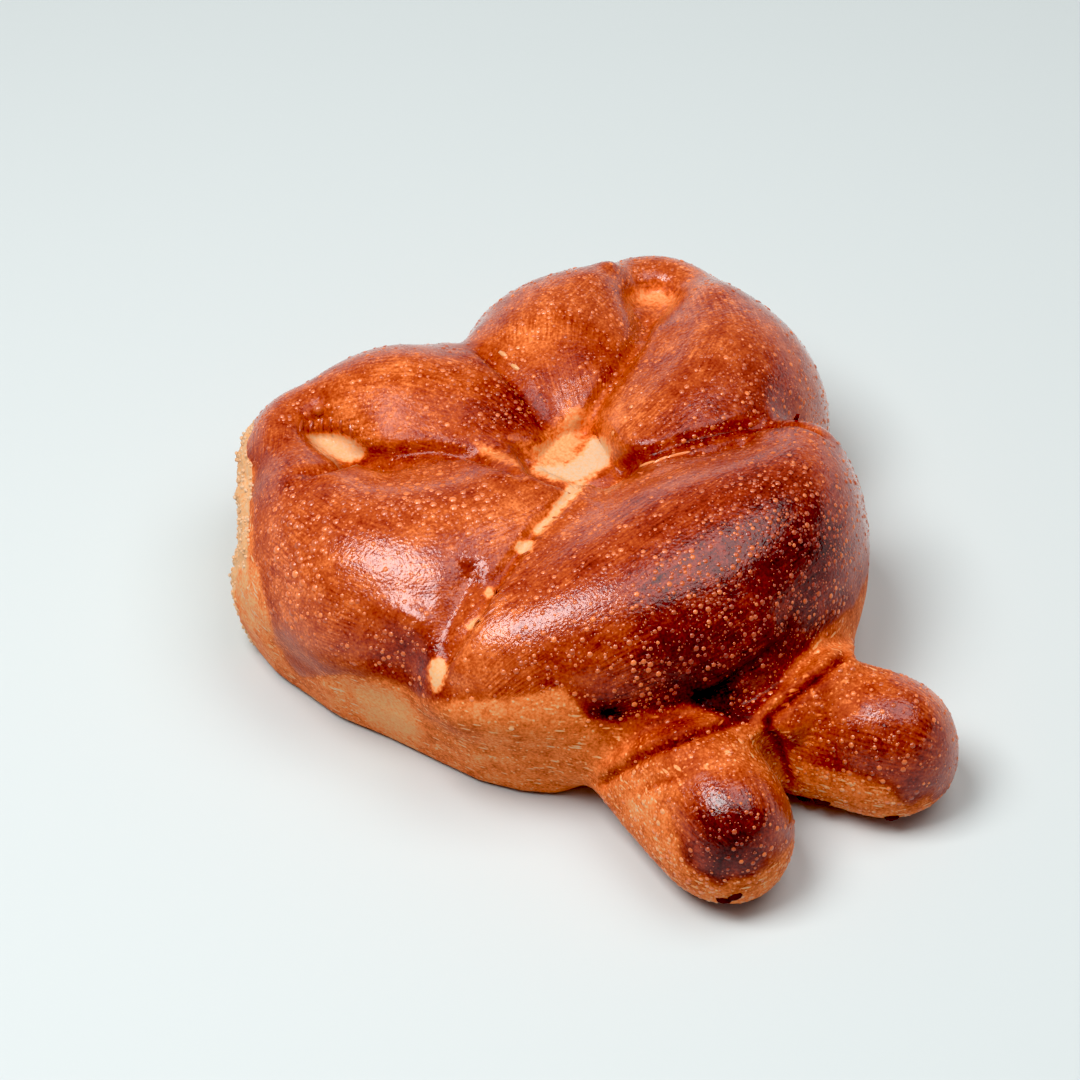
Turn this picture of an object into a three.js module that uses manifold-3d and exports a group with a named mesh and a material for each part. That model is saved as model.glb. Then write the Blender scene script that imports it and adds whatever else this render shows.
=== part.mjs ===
// A knotted heart bun: one rope of sweet dough, tied like a pretzel, proofed until its loops close and baked.
// Two loops make the lobes of the heart, the belly crosses over at the point, and the two rope ends stick out
// from under the belly as feet. All of it has baked together, so it is one solid with a flat sole.
// Millimetres, +Z up. The heart's axis lies along Y, with the feet towards -Y and the cleft towards +Y.
import * as THREE from "three";
import { mergeVertices } from "three/addons/utils/BufferGeometryUtils.js";
import Module from "manifold-3d";

const wasm = await Module();
wasm.setup();
const { clamp, degToRad, lerp, seededRandom } = THREE.MathUtils;

// Driving dimensions of the knot.
const SAG = 0.37; // the dough sagged before it set, so a rope is widest at this share of its height
const PRESSED = 2; // how far the round underside would sink into the tray, where the sole is flat instead
const LEFT_HOLE = new THREE.Vector2(-38, 48); // the dimple in the middle of each loop
const RIGHT_HOLE = new THREE.Vector2(36, 44.5);
const LEFT_HOLE_FLOOR = 31; // heights of the dimples' bottoms
const RIGHT_HOLE_FLOOR = 33.5;
const TURN_RADIUS = 10; // from the dimple to the crest that turns round it
const LEFT_TURN_CREST = 37;
const RIGHT_TURN_CREST = 36;
const TURN_INSIDE = 9; // half widths of the rope there
const TURN_OUTSIDE = 10.5;
const TURN_STATIONS = 4;
const TUCKED = 0.7; // how much slimmer the inner leg is where it lies inside the outer leg's turn
const HOLLOW_FLOOR = 26; // height of the bottom of the hollow in the middle of the knot
const BELLY_Y = -21; // the belly's middle line, where it crosses the axis
const FOOT_HALF_WIDTH = 14.5;
const FOOT_CREST = 27;
const TEAR_BEARING = degToRad(146); // the way the torn face looks, from +X
const TEAR_REACH = 76.5; // from the knot's middle to the torn face
const TEAR_OFFSET = -13; // the torn face's middle along the flank
const TEAR_HALF_LENGTH = 21;
const TEAR_TOP = 34; // the torn face reaches no higher than this
const TEAR_BLOCK = 20; // thickness of what is torn off
const TEAR_BUMPS = 13; // bumps of crumb along and up the torn face
const TEAR_RAGGED = 1.2; // how far the bumps stand in and out
const SHREDS = 14; // shreds of crumb left standing on the torn face
const SHRED_RADIUS = [1.8, 3.2];
const SHRED_ALONG = [-16, 14]; // where they lie along the torn face, from its middle
const SHRED_Z = [7, 27];
const SEED = 7;

// How finely the rope is divided.
const SIDES = 24;
const RING_STEP = 4.5;
const CAP_RINGS = 5;

// A point below a rope's crest line, with the rope's half width and the height of its crest there.
// Where the rope sagged to its right-hand side, as seen along it, that side has a half width of its own.
const station = (x, y, halfWidth, crest, sagged = halfWidth) => ({ x, y, halfWidth, crest, sagged });

// A closed geometry as a solid that can be joined and cut.
function solid(geometry) {
  const bare = geometry.clone();
  bare.deleteAttribute("normal");
  bare.deleteAttribute("uv");
  const merged = mergeVertices(bare, 1e-4);
  return new wasm.Manifold(
    new wasm.Mesh({
      numProp: 3,
      vertProperties: new Float32Array(merged.attributes.position.array),
      triVerts: new Uint32Array(merged.index.array),
    }),
  );
}

// A length of rope: a capsule whose axis is bent along the stations and whose sections swell with them.
// Above its widest line a section is half an ellipse up to the crest, and below it one that reaches the tray.
function rope(stations) {
  const middle = new THREE.CatmullRomCurve3(stations.map((s) => new THREE.Vector3(s.x, s.y, SAG * s.crest)));
  const girth = new THREE.CatmullRomCurve3(
    stations.map((s) => new THREE.Vector3(s.halfWidth, s.crest, s.sagged)),
  );
  const length = middle.getLength();
  const end = Math.min(stations[0].halfWidth, stations.at(-1).halfWidth);
  const rings = Math.round(length / RING_STEP);
  const capsule = new THREE.CapsuleGeometry(1, (length - 2 * end) / end, CAP_RINGS, SIDES, rings);
  const half = length / end / 2;
  const position = capsule.attributes.position;
  const up = new THREE.Vector3(0, 0, 1);
  for (let i = 0; i < position.count; i++) {
    const along = clamp((position.getY(i) + half) / (2 * half), 0, 1);
    const t = middle.getUtoTmapping(along);
    const point = middle.getPoint(t);
    const tangent = middle.getTangent(t);
    const side = new THREE.Vector3().crossVectors(tangent, up).normalize();
    const over = new THREE.Vector3().crossVectors(side, tangent);
    const size = girth.getPoint(t);
    const width = position.getX(i) > 0 ? size.z : size.x;
    const height = position.getZ(i) > 0 ? (1 - SAG) * size.y : point.z + PRESSED;
    point.addScaledVector(side, position.getX(i) * width).addScaledVector(over, position.getZ(i) * height);
    position.setXYZ(i, point.x, point.y, point.z);
  }
  return solid(capsule);
}

// An egg-shaped mass of dough.
function mass(x, y, z, halfX, halfY, halfZ) {
  const egg = new THREE.SphereGeometry(1, SIDES, SIDES / 2);
  egg.rotateX(Math.PI / 2);
  egg.scale(halfX, halfY, halfZ);
  egg.translate(x, y, z);
  return solid(egg);
}

// The stretch of a loop that turns round its dimple, from one bearing to another, with the dimple on its left.
function turn(hole, crest, from, to, slimmer) {
  return Array.from({ length: TURN_STATIONS }, (_, i) => {
    const bearing = degToRad(lerp(from, to, i / (TURN_STATIONS - 1)));
    const at = new THREE.Vector2(TURN_RADIUS, 0).rotateAround(new THREE.Vector2(), bearing).add(hole);
    return station(at.x, at.y, TURN_INSIDE - slimmer, crest - slimmer, TURN_OUTSIDE - slimmer);
  });
}

// A loop rises out of the middle of the knot, turns round its dimple, fattens and runs in under the belly.
// It is two ropes, the inner leg and the outer leg, and the inner one ends inside the outer one's turn.
// The lobes are uneven, because the left one spread more in the oven. The right one is given from its other end.
const leftInnerLeg = () =>
  rope([
    station(-6, 21, 14, 30),
    station(-12, 36, 21, 40),
    station(-21, 47, 20, 43, 22),
    ...turn(LEFT_HOLE, LEFT_TURN_CREST, 75, 190, TUCKED),
  ]);
const leftOuterLeg = () =>
  rope([
    station(-24, 50, 9, LEFT_TURN_CREST - 2),
    ...turn(LEFT_HOLE, LEFT_TURN_CREST, 75, 190, 0),
    station(-51, 32, 16, 40, 18),
    station(-46, 18, 21, 43, 25),
    station(-34, 10, 22, 44, 30),
    station(-19, 8, 19, 43, 24),
    station(-7, 8, 13, 36),
  ]);
const rightOuterLeg = () =>
  rope([
    station(3, 10, 13, 37),
    station(22, 12, 19, 44),
    station(36, 21, 20, 44, 22.5),
    ...turn(RIGHT_HOLE, RIGHT_TURN_CREST, -10, 110, 0),
    station(19, 49, 9, RIGHT_TURN_CREST - 2),
  ]);
const rightInnerLeg = () =>
  rope([
    ...turn(RIGHT_HOLE, RIGHT_TURN_CREST, -10, 110, TUCKED),
    station(15, 46, 19, 43, 23),
    station(8, 37, 20, 40, 21),
    station(3, 23, 13, 30),
  ]);

// The belly crosses the axis in front of both loops, and its ends are tucked down beside them.
const belly = () =>
  rope([
    station(-55, -9, 11, 24),
    station(-38, BELLY_Y + 4, 16.5, 40),
    station(-19, BELLY_Y, 24, 47),
    station(0, BELLY_Y, 27, 49),
    station(15, BELLY_Y, 22.5, 49),
    station(26, BELLY_Y + 4, 15.5, 46),
    station(38, BELLY_Y + 18, 9.5, 36),
  ]);

// A foot runs straight from its root, hidden under the belly, to its round tip, and tapers on the way.
function foot(root, tip, halfWidth, taper) {
  const stop = (share, slimmer, lower) => {
    const at = new THREE.Vector2(...root).lerp(new THREE.Vector2(...tip), share);
    return station(at.x, at.y, halfWidth - slimmer, FOOT_CREST - lower);
  };
  return rope([stop(0, 0, 2), stop(0.35, 0, 1), stop(0.7, taper / 4, 0), stop(1, taper, 6)]);
}
const leftFoot = () => foot([-19, -28], [-23.5, -75], FOOT_HALF_WIDTH, 4.5);
const rightFoot = () => foot([-2, -36], [22, -73.5], FOOT_HALF_WIDTH - 1, 2);

// Dough that fills the knot from below, up to the bottom of the middle hollow and of the two dimples.
function filling() {
  const hollow = mass(-6, 11, 0, 52, 48, HOLLOW_FLOOR);
  const leftDimple = mass(LEFT_HOLE.x, LEFT_HOLE.y, 0, 17, 17, LEFT_HOLE_FLOOR);
  const rightDimple = mass(RIGHT_HOLE.x, RIGHT_HOLE.y, 0, 15, 15, RIGHT_HOLE_FLOOR);
  return hollow.add(leftDimple).add(rightDimple);
}

// The left flank baked against another bun and was torn off it: a bumpy block takes the skin off there.
function torn() {
  const block = new THREE.BoxGeometry(TEAR_BLOCK, 2 * TEAR_HALF_LENGTH, TEAR_TOP, 1, TEAR_BUMPS, TEAR_BUMPS);
  const position = block.attributes.position;
  seededRandom(SEED);
  for (let i = 0; i < position.count; i++) {
    const inside = Math.abs(position.getY(i)) < TEAR_HALF_LENGTH && Math.abs(position.getZ(i)) < TEAR_TOP / 2;
    if (position.getX(i) < 0 && inside) {
      const ragged = TEAR_RAGGED * (2 * seededRandom() - 1);
      position.setX(i, position.getX(i) + ragged);
    }
  }
  block.translate(TEAR_REACH + TEAR_BLOCK / 2, TEAR_OFFSET, TEAR_TOP / 2);
  block.rotateZ(TEAR_BEARING);
  return solid(block);
}

// Lumps of crumb, half sunk in the torn face.
function shreds() {
  seededRandom(SEED);
  const between = ([low, high]) => lerp(low, high, seededRandom());
  return Array.from({ length: SHREDS }, () => {
    const lump = new THREE.IcosahedronGeometry(between(SHRED_RADIUS), 0);
    lump.rotateX(between([0, Math.PI])).scale(0.8, 1, between([0.5, 1]));
    lump.translate(TEAR_REACH - TEAR_RAGGED, TEAR_OFFSET + between(SHRED_ALONG), between(SHRED_Z));
    lump.rotateZ(TEAR_BEARING);
    return solid(lump);
  });
}

// Everything below the tray is cut away, which leaves the flat sole.
function tray() {
  const box = new THREE.BoxGeometry(400, 400, 100);
  box.translate(0, 0, -50);
  return solid(box);
}

// Everything together, moved so that the origin is under the middle of its outline.
function bunGeometry() {
  const join = (joined, piece) => joined.add(piece);
  const legs = [leftInnerLeg(), leftOuterLeg(), rightOuterLeg(), rightInnerLeg()];
  const knot = [...legs, leftFoot(), rightFoot(), filling()].reduce(join, belly());
  const whole = knot.subtract(torn());
  const mesh = shreds().reduce(join, whole).subtract(tray()).getMesh();
  const geometry = new THREE.BufferGeometry();
  geometry.setAttribute("position", new THREE.BufferAttribute(mesh.vertProperties, 3));
  geometry.setIndex(new THREE.BufferAttribute(mesh.triVerts, 1));
  geometry.computeBoundingBox();
  const middle = geometry.boundingBox.getCenter(new THREE.Vector3());
  geometry.translate(-middle.x, -middle.y, 0);
  return geometry;
}

const crust = new THREE.MeshStandardMaterial({ color: 0xa8431c, roughness: 0.35, metalness: 0 });
const bun = new THREE.Mesh(bunGeometry(), crust);
bun.name = "bun";

const part = new THREE.Group();
part.add(bun);
export default part;
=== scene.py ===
# %% [markdown]
# # A knotted heart bun
#
# The bun is one rope of sweet dough, tied like a pretzel and proofed until its loops close. It was brushed
# with egg, baked on a tray and torn off the bun beside it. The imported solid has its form: strands, feet,
# dimples and hollow. This lesson turns that solid into bread, with strands that have grown together, a
# glossy brown crust full of blisters, duller sides where the brush didn't reach, and pale dough in the
# creases.

from math import cos, pi, radians, sin

import bpy
import numpy as np
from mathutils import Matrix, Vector, noise
from mathutils.bvhtree import BVHTree


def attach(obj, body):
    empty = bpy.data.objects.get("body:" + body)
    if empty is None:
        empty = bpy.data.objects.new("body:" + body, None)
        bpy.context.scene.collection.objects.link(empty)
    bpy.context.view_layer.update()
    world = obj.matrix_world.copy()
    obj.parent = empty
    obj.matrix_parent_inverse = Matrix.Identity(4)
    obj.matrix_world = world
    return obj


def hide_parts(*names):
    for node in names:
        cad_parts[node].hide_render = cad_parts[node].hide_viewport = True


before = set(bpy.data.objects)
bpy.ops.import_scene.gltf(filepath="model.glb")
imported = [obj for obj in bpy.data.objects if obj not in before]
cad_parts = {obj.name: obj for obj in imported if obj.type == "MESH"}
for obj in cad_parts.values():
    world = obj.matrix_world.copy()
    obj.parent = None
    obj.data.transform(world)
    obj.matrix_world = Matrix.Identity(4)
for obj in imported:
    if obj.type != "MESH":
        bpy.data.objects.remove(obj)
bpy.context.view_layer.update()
MM = 0.001

# %% [markdown]
# ## Camera
#
# The photograph looks down on the bun from its front left. A long lens from a short distance away gives the
# same slight perspective. The camera could be placed by eye, but a bearing, a height and a distance from
# one point of the bun are easier to change, and the same numbers later tell which point of the crust a
# pixel shows.

# %% Place the camera
CAMERA_BEARING = radians(-34)
CAMERA_HEIGHT = radians(45)
CAMERA_DISTANCE = 750 * MM
AIM = Vector((-6.24, 17.53, 18)) * MM
PIXELS = 1080
PIXELS_PER_MM = 5.15
SENSOR = 36
FOCAL_PIXELS = PIXELS_PER_MM * CAMERA_DISTANCE / MM

BACK = Vector((
    sin(CAMERA_BEARING) * cos(CAMERA_HEIGHT), -cos(CAMERA_BEARING) * cos(CAMERA_HEIGHT), sin(CAMERA_HEIGHT)
))
TO_CAMERA = np.array(BACK)
bpy.ops.object.camera_add(location=AIM + CAMERA_DISTANCE * BACK)
camera = bpy.context.object
camera.rotation_mode = "QUATERNION"
camera.rotation_quaternion = BACK.to_track_quat("Z", "Y")
camera.data.sensor_width = SENSOR
camera.data.lens = SENSOR * FOCAL_PIXELS / PIXELS
bpy.context.scene.camera = camera
print("camera", [round(x, 3) for x in camera.location], "lens", round(camera.data.lens, 1))

# %% [markdown]
# ## Floor and light
#
# The bun lies on a pale seamless sheet. A soft light on the left makes the highlights on the egg wash, and
# a wider, weaker one on the right adds a second glint. The walls are brightest behind the bun and on its
# right, and give its far edges a whitish rim. The ceiling is dim, because even light from all over the room
# would veil the deep colour with a grey sheen.

# %% Light the bun
FLOOR_SIZE = 6
FLOOR_COLOUR = (0.61, 0.655, 0.655, 1)
WALL_LIGHT = 0.7
WALL_TOP = 0.4
CEILING_LIGHT = 0.13
NEAR_SIDE = (-0.70, -0.71, 0)
NEAR_LIGHT = 1.1
FAR_LIGHT = 1.75
ROOM_COLOUR = (0.95, 1.0, 1.0, 1)
BLACKS = 0.026


class Nodes:
    """The nodes of a material or a world, with short names for adding to them."""

    def __init__(self, owner):
        owner.use_nodes = True
        self.owner = owner
        self.tree = owner.node_tree

    def give(self, socket, value):
        if isinstance(value, bpy.types.NodeSocket):
            self.tree.links.new(value, socket)
        else:
            socket.default_value = value

    def fill(self, node, **inputs):
        """Set or link inputs of a node, named with _ for each space."""
        for name, value in inputs.items():
            self.give(node.inputs[name.replace("_", " ")], value)
        return node

    def node(self, kind, settings=None, **inputs):
        made = self.tree.nodes.new("ShaderNode" + kind)
        for name, value in (settings or {}).items():
            setattr(made, name, value)
        return self.fill(made, **inputs)

    def shade(self, **inputs):
        self.fill(self.tree.nodes["Principled BSDF"], **inputs)

    def math(self, operation, first, second):
        made = self.node("Math", {"operation": operation})
        self.give(made.inputs[0], first)
        self.give(made.inputs[1], second)
        return made.outputs[0]

    def times(self, first, second):
        return self.math("MULTIPLY", first, second)

    def between(self, value, low, high, at_low=0.0, at_high=1.0):
        """Smoothly from one number at low to another at high."""
        limits = {"From_Min": low, "From_Max": high, "To_Min": at_low, "To_Max": at_high}
        made = self.node("MapRange", {"interpolation_type": "SMOOTHSTEP"}, Value=value, **limits)
        return made.outputs["Result"]


def hang_light(place, size, watts):
    """A square light that faces the bun."""
    bpy.ops.object.light_add(type="AREA", location=place)
    light = bpy.context.object
    light.rotation_mode = "QUATERNION"
    light.rotation_quaternion = place.to_track_quat("Z", "Y")
    light.data.size = size
    light.data.energy = watts


bpy.ops.mesh.primitive_plane_add(size=FLOOR_SIZE)
floor = bpy.context.object
floor.name = "floor"
paper = Nodes(bpy.data.materials.new("pale_floor"))
paper.shade(Base_Color=FLOOR_COLOUR, Roughness=0.9, Specular_IOR_Level=0.1)
floor.data.materials.append(paper.owner)

hang_light(place=Vector((-0.30, 0.05, 0.70)), size=0.36, watts=5.3)
hang_light(place=Vector((0.19, -0.14, 0.68)), size=0.46, watts=2.1)

room = Nodes(bpy.data.worlds.new("white_room"))
bpy.context.scene.world = room.owner
direction = room.node("TexCoord").outputs["Generated"]
height = room.node("SeparateXYZ", Vector=direction).outputs["Z"]
sideways = room.node("VectorMath", {"operation": "DOT_PRODUCT"}, Vector=direction)
sideways.inputs[1].default_value = NEAR_SIDE
sides = room.between(sideways.outputs["Value"], -1, 1, FAR_LIGHT, NEAR_LIGHT)
walls = room.between(height, 0, WALL_TOP, WALL_LIGHT, CEILING_LIGHT)
room.fill(room.tree.nodes["Background"], Color=ROOM_COLOUR, Strength=room.times(sides, walls))
look = bpy.context.scene.view_settings
look.view_transform = "Standard"
look.use_curve_mapping = True
look.curve_mapping.black_level = (BLACKS, BLACKS, BLACKS)
look.curve_mapping.update()
print("floor, two lights and walls are set")

# %% [markdown]
# ## One skin over the strands
#
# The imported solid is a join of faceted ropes, so its triangles are long and uneven. Subdividing it would
# keep its facets. A voxel remesh gives an even skin of small squares instead, and a smooth modifier takes
# the facets out of it, so that everything after this can be shaped point by point.

# %% Remesh a copy of the solid
ROUGH_STEP = 1.2 * MM
FACET_SMOOTHING = 12


def select_only(piece):
    bpy.ops.object.select_all(action="DESELECT")
    piece.select_set(True)
    bpy.context.view_layer.objects.active = piece


def apply_modifier(piece, kind, **settings):
    select_only(piece)
    bpy.ops.object.modifier_add(type=kind)
    modifier = piece.modifiers[-1]
    for name, value in settings.items():
        setattr(modifier, name, value)
    bpy.ops.object.modifier_apply(modifier=modifier.name)


def remesh(piece, step):
    apply_modifier(piece, "REMESH", mode="VOXEL", voxel_size=step, use_smooth_shade=True)


def smooth(piece, times, factor=0.5):
    apply_modifier(piece, "SMOOTH", factor=factor, iterations=times)


def rows_of(items, name, each, kind=np.float32):
    """A property of each item of a mesh, as rows of so many values."""
    rows = np.empty(len(items) * each, kind)
    items.foreach_get(name, rows)
    return rows.reshape(-1, each)


def points_of(piece):
    return rows_of(piece.data.vertices, "co", 3).astype(float)


def normals_of(piece):
    return rows_of(piece.data.vertex_normals, "vector", 3).astype(float)


def move_to(piece, points):
    piece.data.vertices.foreach_set("co", points.astype(np.float32).ravel())
    piece.data.update()


crust = bpy.data.objects.new("crust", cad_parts["bun"].data.copy())
bpy.context.scene.collection.objects.link(crust)
select_only(crust)
bpy.ops.object.mode_set(mode="EDIT")
bpy.ops.mesh.select_all(action="SELECT")
bpy.ops.mesh.remove_doubles(threshold=0.01 * MM)
bpy.ops.object.mode_set(mode="OBJECT")
crust.data.materials.clear()
remesh(crust, ROUGH_STEP)
smooth(crust, FACET_SMOOTHING)
print("skin of", len(crust.data.polygons), "squares")

# %% [markdown]
# ## Proofing
#
# Dough that proofs in a knot grows together: the sharp valleys between the strands fill up until only soft
# furrows are left. A ball that rolls over the bun and can't reach the bottom of a valley shows how far.
# This is done on a map of heights, because the top of the bun has one height at each place. The dimples and
# the hollow stay open, the feet stay apart, and the notches in the outline keep their form.

# %% Fill the valleys
MAP_STEP = 1 * MM
MAP_MARGIN = 20 * MM
NEXT_TO = (-1, 0, 1)
FACING_FROM = 0.05
BALL_RADIUS = 17 * MM
BALL_REACH = 15
PROOFED = 0.9
FILLED_AT_MOST = 6 * MM
RIM_HEIGHT = 20 * MM
RIM_CELLS = 5
SETTLING = 4
LEFT_DIMPLE = Vector((-32.2, 51.5)) * MM
RIGHT_DIMPLE = Vector((41.8, 48.0)) * MM
HOLLOW = Vector((6.0, 23.0)) * MM
OPEN_RADIUS = 8 * MM
OPEN_SHARE = 0.8
HOLLOW_OPEN = 0.6
STEEP_TO_LEVEL = (0.1, 0.45)
PROOFED_FROM_Y = -36 * MM
PROOF_FADE = 8 * MM


def ramp(x, low, high):
    """Smoothly from 0 at low to 1 at high."""
    share = np.clip((x - low) / (high - low), 0, 1)
    return share * share * (3 - 2 * share)


def bump(distance, radius):
    """A soft round bump, 1 in its middle."""
    return np.exp(-((distance / radius) ** 2))


def away(points, place):
    """How far the points are from a place, seen from above."""
    return np.hypot(points[:, 0] - place[0], points[:, 1] - place[1])


def shifted(grid, rows, columns):
    return np.roll(grid, (rows, columns), axis=(0, 1))


def rolled_over(heights, radius):
    """The heights with every valley closed that a ball of a radius can't reach into."""
    reach = range(-BALL_REACH, BALL_REACH + 1)
    offsets = [(i, j) for i in reach for j in reach if i * i + j * j <= BALL_REACH**2]
    drop = {o: (o[0] ** 2 + o[1] ** 2) * MAP_STEP**2 / (2 * radius) for o in offsets}
    raised = np.max([shifted(heights, *o) - drop[o] for o in offsets], axis=0)
    return np.min([shifted(raised, *o) + drop[o] for o in offsets], axis=0)


def blurred(grid, times):
    for _ in range(times):
        grid = sum(shifted(grid, i, j) for i in NEXT_TO for j in NEXT_TO) / len(NEXT_TO) ** 2
    return grid


def map_cells(flat):
    """The map's cell of each point on a plane, and the size of the map."""
    cells = np.floor((flat - (flat.min(axis=0) - MAP_MARGIN)) / MAP_STEP).astype(int)
    return cells, cells.max(axis=0) + 1 + int(MAP_MARGIN / MAP_STEP)


points = points_of(crust)
normals = normals_of(crust)
cells, map_size = map_cells(points[:, :2])
up = normals[:, 2] > FACING_FROM
total = np.zeros(map_size)
count = np.zeros(map_size)
np.add.at(total, tuple(cells[up].T), points[up, 2])
np.add.at(count, tuple(cells[up].T), 1)
near_total = blurred(total, 1)
near_count = blurred(count, 1)
heights = np.where(near_count > 0, near_total / np.maximum(near_count, 1e-9), 0)
filling = blurred(rolled_over(heights, BALL_RADIUS) - heights, 3)
filling = FILLED_AT_MOST * np.tanh(filling / FILLED_AT_MOST)
nearby = (-RIM_CELLS, 0, RIM_CELLS)
inner = np.min([shifted(heights, i, j) for i in nearby for j in nearby], axis=0) > RIM_HEIGHT
filling *= blurred(inner.astype(float), RIM_CELLS)
stay_open = sum(bump(away(points, place), OPEN_RADIUS) for place in (LEFT_DIMPLE, RIGHT_DIMPLE))
stay_open += HOLLOW_OPEN * bump(away(points, HOLLOW), OPEN_RADIUS)
share = ramp(normals[:, 2], *STEEP_TO_LEVEL)
share *= ramp(points[:, 1], PROOFED_FROM_Y, PROOFED_FROM_Y + PROOF_FADE)
share *= PROOFED * (1 - OPEN_SHARE * np.clip(stay_open, 0, 1))
rise = share * filling[tuple(cells.T)]
points[:, 2] += rise
move_to(crust, points)
smooth(crust, SETTLING)
print("valleys filled by up to", round(float(rise.max() / MM), 1), "mm")

# %% [markdown]
# ## Finding a place on the crust
#
# Creases, pale patches and scorched spots are easiest to place where the photograph shows them. A ray from
# the camera through a pixel hits the crust there, and from then on the place is a point on the bun, right
# from every side. A line of such points traces a crease.

# %% Look through a pixel
LOOK_RIGHT = camera.rotation_quaternion @ Vector((1, 0, 0))
LOOK_UP = camera.rotation_quaternion @ Vector((0, 1, 0))


def skin_tree():
    return BVHTree.FromObject(crust, bpy.context.evaluated_depsgraph_get())


def ray_through(x, y):
    across = (x - PIXELS / 2) / FOCAL_PIXELS
    down = (y - PIXELS / 2) / FOCAL_PIXELS
    return across * LOOK_RIGHT - down * LOOK_UP - BACK


def seen_at(x, y, tree):
    return tree.ray_cast(camera.location, ray_through(x, y))[0]


def lengths(vectors):
    return np.linalg.norm(vectors, axis=1)


def from_seen(pixel, points, tree):
    """How far the points are from the place that a pixel shows."""
    return lengths(points - np.array(seen_at(*pixel, tree)))


def traced(pixels, tree):
    """Places on the crust along a line of pixels, about 1 mm apart."""
    hits = [seen_at(*pixels[0], tree)]
    for start, end in zip(np.array(pixels[:-1], float), np.array(pixels[1:], float)):
        steps = int(np.linalg.norm(end - start) / PIXELS_PER_MM) + 1
        hits += [seen_at(*(start + (end - start) * (i + 1) / steps), tree) for i in range(steps)]
    return np.array([hit for hit in hits if hit is not None])


def in_picture(points):
    """Which pixels show the points: x and y."""
    off = points - np.array(camera.location)
    depth = -off @ TO_CAMERA
    x = PIXELS / 2 + FOCAL_PIXELS * (off @ np.array(LOOK_RIGHT)) / depth
    y = PIXELS / 2 - FOCAL_PIXELS * (off @ np.array(LOOK_UP)) / depth
    return x, y


def off_line(points, line):
    """For each run of a line: the run, the points' shares of the way along it, and how they lie off it."""
    for start, end in zip(line[:-1], line[1:]):
        run = end - start
        share = np.clip((points - start) @ run / (run @ run), 0, 1)
        yield run, share, points - start - share[:, None] * run


def inside(x, y, outline):
    """How far pixels lie inside an outline of pixels, in millimetres at the bun. Below 0 is outside."""
    closed = np.array(outline + outline[:1], float)
    nearest = np.full(len(x), np.inf)
    for _, _, off in off_line(np.stack([x, y], axis=1), closed):
        nearest = np.minimum(nearest, np.hypot(*off.T))
    within = np.zeros(len(x), bool)
    for (x0, y0), (x1, y1) in zip(closed[:-1], closed[1:]):
        if y0 != y1:
            within ^= ((y0 > y) != (y1 > y)) & (x < x0 + (y - y0) * (x1 - x0) / (y1 - y0))
    return np.where(within, nearest, -nearest) / PIXELS_PER_MM * MM


def beside(points, line):
    """How far the points are from a line of places, and on which side: above 0 is left of its direction."""
    nearest = np.full(len(points), np.inf)
    side = np.ones(len(points))
    for run, _, off in off_line(points, line):
        distance = lengths(off)
        closer = distance < nearest
        nearest[closer] = distance[closer]
        side[closer] = np.sign(run[0] * off[closer, 1] - run[1] * off[closer, 0])
    return nearest, side


print("the middle of the picture shows", [round(x / MM, 1) for x in seen_at(540, 540, skin_tree())], "mm")

# %% [markdown]
# ## Standing on the tray
#
# On the tray the dough spread until its sides stood upright, and the notch on the front left closed at the
# bottom. The line where the front left stands on the table is traced on the floor. The skin above it moves
# to a wall that rises from this line and leans out a little.

# %% Stand the front side up
BASE_LINE = [
    (246, 612), (256, 650), (280, 678), (305, 695), (340, 720), (390, 740), (440, 764), (480, 783),
    (520, 793), (560, 797), (594, 799),
]
LEAN = 0.27
UPRIGHT_BELOW = 12 * MM
UPRIGHT_TO = 27 * MM
SOLE_EDGE = (0.1 * MM, 0.5 * MM)
WALL_REACH = 16 * MM
WALL_CORE = 0.6 * WALL_REACH
LEVEL_TO_STEEP = (0.9, 0.6)
END_FADE = 9 * MM


def on_floor(x, y):
    ray = ray_through(x, y)
    return camera.location - ray * camera.location.z / ray.z


def unit(vectors):
    return vectors / lengths(vectors)[:, None]


line = np.array([on_floor(*pixel) for pixel in BASE_LINE])
points = points_of(crust)
ground = points * (1, 1, 0)
distance, side = beside(ground, line)
runs = line[1:] - line[:-1]
outward = unit(np.stack([runs[:, 1], -runs[:, 0], 0 * runs[:, 0]], axis=1))
runs = unit(runs)
halfway = (line[1:] + line[:-1]) / 2
closest = np.argmin([lengths(ground - place) for place in halfway], axis=0)
wanted = LEAN * np.minimum(points[:, 2], UPRIGHT_BELOW)
share = ramp(points[:, 2], UPRIGHT_TO, UPRIGHT_BELOW) * ramp(points[:, 2], *SOLE_EDGE)
share *= ramp(distance, WALL_REACH, WALL_CORE) * ramp(normals_of(crust)[:, 2], *LEVEL_TO_STEEP)
share *= ramp((ground - line[0]) @ runs[0], 0, END_FADE) * ramp((line[-1] - ground) @ runs[-1], 0, END_FADE)
move = share * (wanted + distance * side)
move_to(crust, points + move[:, None] * outward[closest])
print("front side moved by up to", round(float(np.abs(move).max() / MM), 1), "mm")

# %% [markdown]
# ## Roots of the feet
#
# The feet come out from under the belly, and there the dough has grown together as well. The valley lies
# too steep for a map from above. The same ball can roll over the bun as the camera sees it, on a map of how
# near each place is to the camera. Only the band along the creases is filled. Then a second remesh makes an
# even, finer skin of everything done so far.

# %% Fill the creases at the feet
ROOT_BALL = 26 * MM
ROOTS = [
    (575, 800), (590, 768), (640, 735), (690, 712), (740, 700), (780, 680), (820, 645), (860, 628),
    (876, 668), (845, 705), (815, 735), (790, 752), (765, 750), (735, 765), (690, 785), (645, 808),
    (610, 816),
]
ROOT_EDGE = 4 * MM
SKIN_STEP = 0.78 * MM
SKIN_SMOOTHING = 5


def nearness(points):
    return (points - np.array(camera.location)) @ TO_CAMERA


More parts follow.
